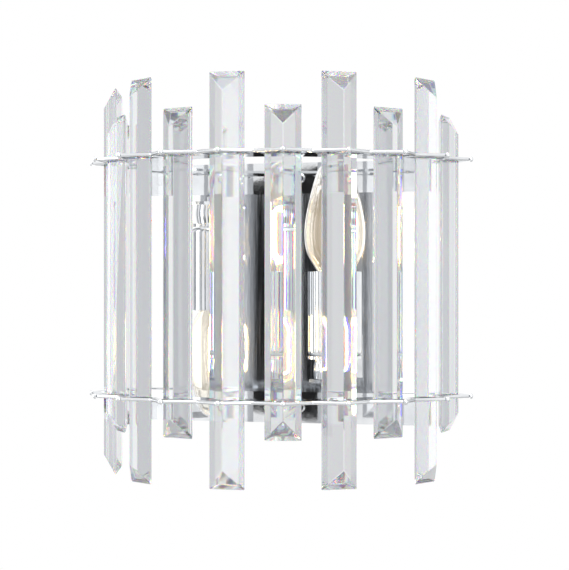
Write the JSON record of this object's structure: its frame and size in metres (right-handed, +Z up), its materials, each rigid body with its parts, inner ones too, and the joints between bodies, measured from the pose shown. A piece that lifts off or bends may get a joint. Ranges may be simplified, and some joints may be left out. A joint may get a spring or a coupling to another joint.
{
  "type": "wall sconce",
  "caption": "Half-round wall sconce: faceted crystal bars of alternating length hang on zigzag chrome rings round a hanging and a standing candle lamp on a chrome wall pan.",
  "frame": {"origin": "on the wall plane, midway between the two wall-screw slots, which is the middle of the wall pan", "axes": "+Y into the wall, +X to the viewer's right when facing the light, +Z up"},
  "size_m": [0.2264, 0.1412, 0.224],
  "materials": {
    "polished_chrome": "bright mirror-polished chrome plate on brass and steel",
    "pan_chrome": "mirror-polished chrome plate with fine upright polishing lines",
    "lead_crystal": "clear faceted lead crystal, polished, cut edges",
    "zinc_steel": "bright zinc-plated mild steel",
    "holder_plastic": "moulded white heat-proof plastic, slightly glossy",
    "contact_brass": "plain spring brass",
    "bulb_solder": "dull grey tin solder",
    "bulb_nickel": "nickel-plated brass screw cap",
    "bulb_glass": "thin clear blown glass",
    "stem_glass": "clear pressed glass stem",
    "filament_phosphor": "warm white glowing filament strip",
    "lead_jacket": "white silicone-jacketed lamp lead",
    "grommet_rubber": "soft black rubber",
    "terminal_plastic": "natural nylon terminal block"
  },
  "bodies": {
    "fixture": {"bracket_rivets": "polished_chrome", "left_candle_sleeve": "polished_chrome", "left_contact_plate": "contact_brass", "left_holder_nut": "zinc_steel", "left_lamp_bracket": "polished_chrome", "left_lamp_lead": "lead_jacket", "left_lampholder": "holder_plastic", "left_lead_grommet": "grommet_rubber", "left_neck_cup": "polished_chrome", "left_screw_shell": "contact_brass", "left_sleeve_ring": "holder_plastic", "long_crystal_1": "lead_crystal", "long_crystal_2": "lead_crystal", "long_crystal_3": "lead_crystal", "long_crystal_4": "lead_crystal", "long_crystal_5": "lead_crystal", "lower_crystal_pins": "polished_chrome", "lower_pin_collars": "polished_chrome", "lower_retaining_wire": "polished_chrome", "lower_shelf": "polished_chrome", "right_candle_sleeve": "polished_chrome", "right_contact_plate": "contact_brass", "right_holder_nut": "zinc_steel", "right_lamp_bracket": "polished_chrome", "right_lamp_lead": "lead_jacket", "right_lampholder": "holder_plastic", "right_lead_grommet": "grommet_rubber", "right_neck_cup": "polished_chrome", "right_screw_shell": "contact_brass", "right_sleeve_ring": "holder_plastic", "shelf_rivets": "polished_chrome", "short_crystal_1": "lead_crystal", "short_crystal_2": "lead_crystal", "short_crystal_3": "lead_crystal", "short_crystal_4": "lead_crystal", "short_crystal_5": "lead_crystal", "short_crystal_6": "lead_crystal", "strap_studs": "zinc_steel", "terminal_block": "terminal_plastic", "upper_crystal_pins": "polished_chrome", "upper_pin_collars": "polished_chrome", "upper_retaining_wire": "polished_chrome", "upper_shelf": "polished_chrome", "wall_pan": "pan_chrome", "wall_strap": "zinc_steel"},
    "left_bulb_contact_body": {"left_bulb_contact": "bulb_solder"},
    "left_bulb": {"left_bulb_cap": "bulb_nickel", "left_bulb_glass": "bulb_glass", "left_bulb_stem": "stem_glass", "left_bulb_filament": "filament_phosphor"},
    "right_bulb_contact_body": {"right_bulb_contact": "bulb_solder"},
    "right_bulb": {"right_bulb_cap": "bulb_nickel", "right_bulb_glass": "bulb_glass", "right_bulb_stem": "stem_glass", "right_bulb_filament": "filament_phosphor"},
    "upper_washer_body": {"upper_nut_washer": "polished_chrome"},
    "upper_nut_body": {"upper_cap_nut": "polished_chrome"},
    "lower_washer_body": {"lower_nut_washer": "polished_chrome"},
    "lower_nut_body": {"lower_cap_nut": "polished_chrome"}
  },
  "joints": [
    {"name": "left_bulb_travel", "type": "slide", "parent": "fixture", "child": "left_bulb_contact_body", "axis": [0, 0, -1], "range_m": [0, 0.0113]},
    {"name": "left_bulb_turn", "type": "hinge", "parent": "left_bulb_contact_body", "child": "left_bulb", "pos_m": [-0.036, -0.043, 0.051], "axis": [0, 0, -1], "range_deg": [0, 1440]},
    {"name": "right_bulb_travel", "type": "slide", "parent": "fixture", "child": "right_bulb_contact_body", "axis": [0, 0, 1], "range_m": [0, 0.0113]},
    {"name": "right_bulb_turn", "type": "hinge", "parent": "right_bulb_contact_body", "child": "right_bulb", "pos_m": [0.036, -0.043, -0.049], "axis": [0, 0, 1], "range_deg": [0, 1440]},
    {"name": "upper_nut_travel", "type": "slide", "parent": "fixture", "child": "upper_washer_body", "axis": [0, -1, 0], "range_m": [0, 0.0056]},
    {"name": "upper_nut_turn", "type": "hinge", "parent": "upper_washer_body", "child": "upper_nut_body", "pos_m": [0, -0.024, 0.04], "axis": [0, -1, 0], "range_deg": [0, 2881]},
    {"name": "lower_nut_travel", "type": "slide", "parent": "fixture", "child": "lower_washer_body", "axis": [0, -1, 0], "range_m": [0, 0.0056]},
    {"name": "lower_nut_turn", "type": "hinge", "parent": "lower_washer_body", "child": "lower_nut_body", "pos_m": [0, -0.024, -0.04], "axis": [0, -1, 0], "range_deg": [0, 2881]}
  ],
  "couplings": [
    {"joint": "left_bulb_travel", "follows": "left_bulb_turn", "m_per_rad": 0.00044913},
    {"joint": "right_bulb_travel", "follows": "right_bulb_turn", "m_per_rad": 0.00044913},
    {"joint": "upper_nut_turn", "follows": "upper_nut_travel", "rad_per_m": 8976},
    {"joint": "lower_nut_turn", "follows": "lower_nut_travel", "rad_per_m": 8976}
  ]
}
